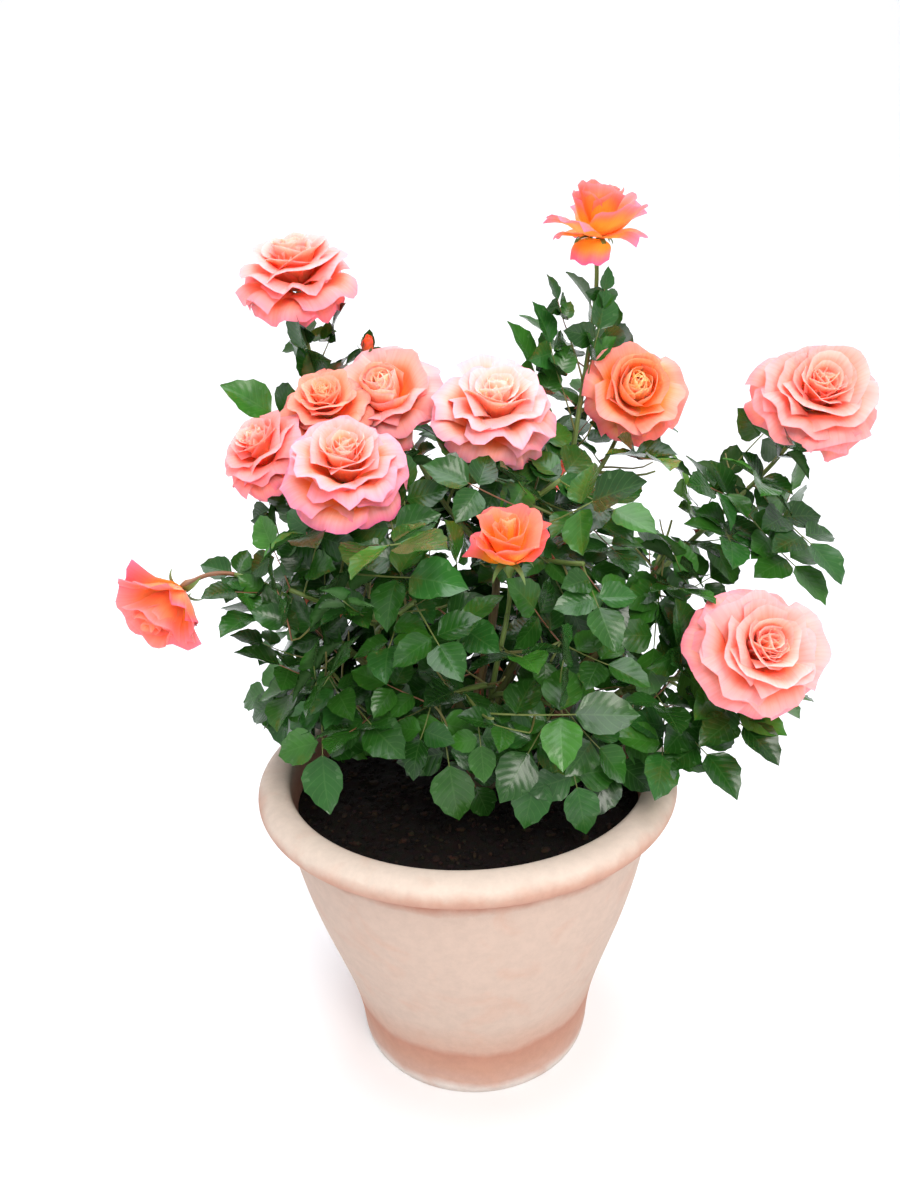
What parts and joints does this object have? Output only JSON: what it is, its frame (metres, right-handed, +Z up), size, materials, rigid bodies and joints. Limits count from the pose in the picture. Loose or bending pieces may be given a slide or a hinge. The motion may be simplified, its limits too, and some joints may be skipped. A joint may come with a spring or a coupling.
{
  "type": "potted rose bush",
  "caption": "Rose bush in bloom with salmon-pink flowers and glossy dark leaves, in a terracotta pot with a rolled rim.",
  "frame": {"origin": "centre of the pot's flat underside, on the ground", "axes": "+Z up along the pot's axis, +X to the right and -Y to the front as the picture shows the bush"},
  "size_m": [0.7498, 0.5004, 0.9302],
  "materials": {
    "terracotta": "matte",
    "compost": "matte",
    "cane": "satin",
    "leaf": "gloss",
    "petal": "satin"
  },
  "bodies": {
    "root": {"pot": "terracotta", "soil": "compost", "knuckle": "cane", "cane_left": "cane", "cane_front_left": "cane", "cane_centre_left": "cane", "cane_centre": "cane", "cane_front": "cane", "cane_right": "cane", "cane_far_right": "cane", "cane_low_right": "cane", "cane_back_left": "cane", "cane_back_right": "cane", "bloom_far_left": "petal", "bloom_front_left": "petal", "bloom_left": "petal", "bloom_top_left": "petal", "bloom_bud": "petal", "bloom_upper_left": "petal", "bloom_centre": "petal", "bloom_mid_left": "petal", "bloom_front": "petal", "bloom_top_right": "petal", "bloom_right": "petal", "bloom_far_right": "petal", "bloom_low_right": "petal", "bloom_back_left": "petal", "bloom_back_right": "petal", "foliage_left": "leaf", "foliage_front_left": "leaf", "foliage_centre_left": "leaf", "foliage_centre": "leaf", "foliage_front": "leaf", "foliage_right": "leaf", "foliage_far_right": "leaf", "foliage_low_right": "leaf", "foliage_back_left": "leaf", "foliage_back_right": "leaf"}
  },
  "joints": []
}
